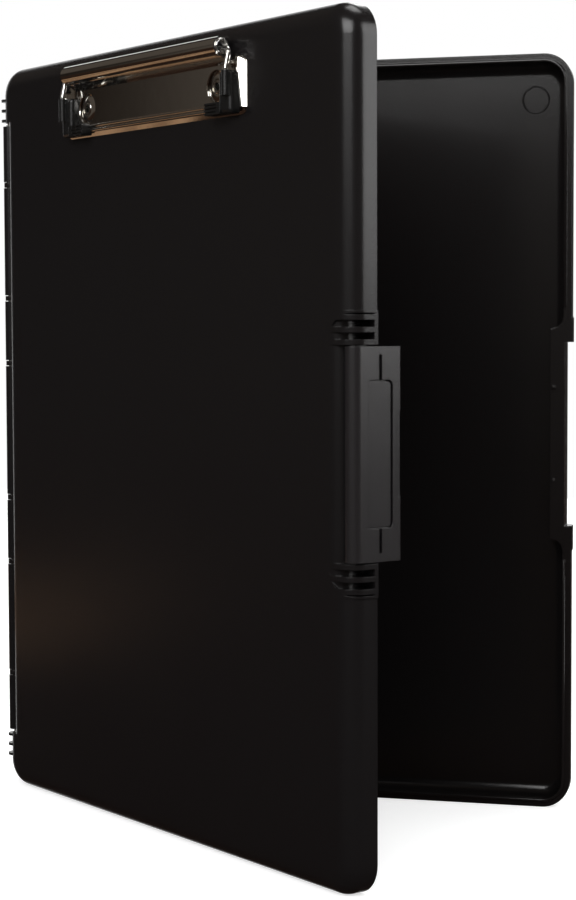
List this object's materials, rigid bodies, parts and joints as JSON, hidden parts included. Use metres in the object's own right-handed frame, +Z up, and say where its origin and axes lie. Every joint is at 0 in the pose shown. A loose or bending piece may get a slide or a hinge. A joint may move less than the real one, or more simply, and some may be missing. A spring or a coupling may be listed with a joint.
{
  "type": "storage clipboard box",
  "caption": "Portable clipboard case standing half open: tray and lid on a pin hinge, with a snap latch and a spring paper clip.",
  "frame": {"origin": "centre of the footprint on the floor, where the case stands on its lower end", "axes": "+Z up along the case's long side, +X from the hinge towards the latch side of the tray, +Y out of the tray's back"},
  "size_m": [0.2512, 0.1771, 0.3175],
  "materials": {
    "case_plastic": "satin",
    "latch_plastic": "satin",
    "grip_plastic": "satin",
    "pin_steel": "drawn",
    "clip_steel": "polished",
    "spring_steel": "drawn",
    "rivet_steel": "polished"
  },
  "bodies": {
    "tray": {"tray_shell": "case_plastic", "hinge_pin": "pin_steel"},
    "lid": {"lid_shell": "case_plastic", "clip_base_plate": "clip_steel", "clip_rivet_left": "rivet_steel", "clip_rivet_right": "rivet_steel", "rivet_washer_left": "rivet_steel", "rivet_washer_right": "rivet_steel"},
    "latch": {"latch": "latch_plastic"},
    "jaw": {"clip_jaw_plate": "clip_steel", "clip_wire_spring": "spring_steel", "clip_grip_left": "grip_plastic", "clip_grip_right": "grip_plastic"}
  },
  "joints": [
    {"name": "lid_hinge", "type": "hinge", "parent": "tray", "child": "lid", "pos_m": [-0.1222, 0.06648, 0.15875], "axis": [0, 0, 1], "range_deg": [-141.35, 38.65]},
    {"name": "latch_pivot", "type": "hinge", "parent": "lid", "child": "latch", "pos_m": [0.06875, -0.08622, 0.15875], "axis": [0, 0, -1], "range_deg": [0, 95]},
    {"name": "clip_jaw", "type": "hinge", "parent": "lid", "child": "jaw", "pos_m": [-0.03075, -0.01498, 0.301], "axis": [-0.781, 0.6246, 0], "range_deg": [0, 12], "stiffness_Nm_per_rad": 0.8, "springref_deg": -28.65}
  ]
}
